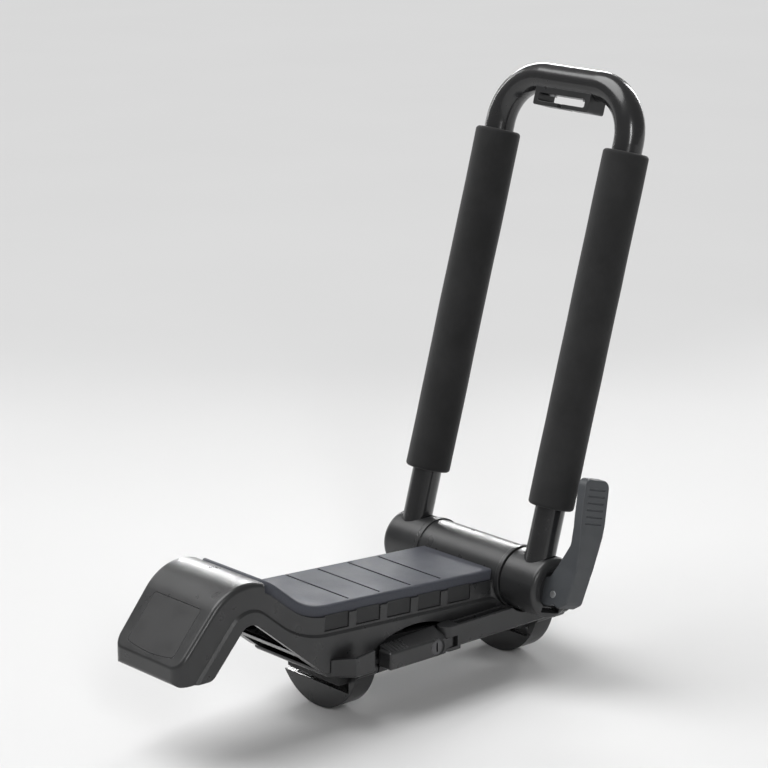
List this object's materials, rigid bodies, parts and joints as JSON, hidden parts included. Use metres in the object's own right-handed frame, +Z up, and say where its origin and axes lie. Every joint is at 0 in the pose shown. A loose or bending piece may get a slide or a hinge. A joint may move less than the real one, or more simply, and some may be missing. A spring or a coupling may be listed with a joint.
{
  "type": "j style kayak carrier",
  "caption": "Fold-down J cradle for a roof bar: moulded base with a rubber saddle, padded tubular upright on a cam-locked hinge, and keyed lever jaws that grip the bar.",
  "frame": {"origin": "on the plane where the two seat pads meet the load bar, midway between the pads and on the carrier's middle plane", "axes": "+X along the load bar from the nose towards the hinge, -Y the side with the levers, +Z up from the load bar"},
  "size_m": [0.474, 0.2165, 0.4989],
  "materials": {
    "body_plastic": "satin black moulded plastic",
    "lever_plastic": "satin dark grey moulded plastic",
    "plate_plastic": "fine grained flush panel",
    "saddle_rubber": "matte slate grey rubber",
    "grip_rubber": "matte black rubber",
    "foam": "matte black closed-cell foam",
    "tube_paint": "gloss black powder coat",
    "bearing_plastic": "plain bearing plastic",
    "steel": "zinc plated steel",
    "black_steel": "blackened steel",
    "lock_metal": "dark plated lock barrel"
  },
  "bodies": {
    "base": {"base_shell": "body_plastic", "saddle_pad": "saddle_rubber", "nose_plate": "plate_plastic", "clamp_tray": "body_plastic", "tray_screws": "steel", "front_seat_pad": "grip_rubber", "rear_seat_pad": "grip_rubber", "hinge_bushes": "bearing_plastic", "lever_pin": "steel"},
    "u_bar": {"u_tube": "tube_paint", "near_foam_sleeve": "foam", "far_foam_sleeve": "foam", "near_knuckle": "body_plastic", "far_knuckle": "body_plastic", "friction_washers": "bearing_plastic", "strap_hook": "body_plastic", "strap_hook_screws": "steel", "clamp_rod": "steel", "rod_nut": "steel", "knuckle_pins": "steel", "cam_seat": "body_plastic"},
    "cam": {"cam_lever": "lever_plastic", "cam_pin": "steel"},
    "clamp_handle": {"mount_lever": "body_plastic"},
    "lock": {"lock_cylinder": "lock_metal"},
    "jaws": {"jaw_shaft": "black_steel", "front_jaw": "body_plastic", "rear_jaw": "body_plastic", "front_jaw_pad": "grip_rubber", "rear_jaw_pad": "grip_rubber", "drive_crank": "black_steel", "shaft_rings": "black_steel"}
  },
  "joints": [
    {"name": "bar_fold", "type": "hinge", "parent": "base", "child": "u_bar", "pos_m": [0.0665, 0, 0.056], "axis": [0, -1, 0], "range_deg": [0, 100]},
    {"name": "cam_swing", "type": "hinge", "parent": "u_bar", "child": "cam", "pos_m": [0.06555, -0.101, 0.05263], "axis": [0.9622, 0, -0.2723], "range_deg": [0, 90]},
    {"name": "mount_swing", "type": "hinge", "parent": "base", "child": "clamp_handle", "pos_m": [-0.0215, -0.0548, 0.0215], "axis": [0, 0, 1], "range_deg": [0, 90]},
    {"name": "lock_turn", "type": "hinge", "parent": "clamp_handle", "child": "lock", "pos_m": [-0.0385, -0.0628, 0.0215], "axis": [0, 1, 0], "range_deg": [0, 90]},
    {"name": "jaw_swing", "type": "hinge", "parent": "base", "child": "jaws", "pos_m": [0, -0.044, 0.0124], "axis": [-1, 0, 0], "range_deg": [0, 60]}
  ],
  "couplings": [
    {"joint": "jaw_swing", "follows": "mount_swing", "ratio": 0.666}
  ]
}
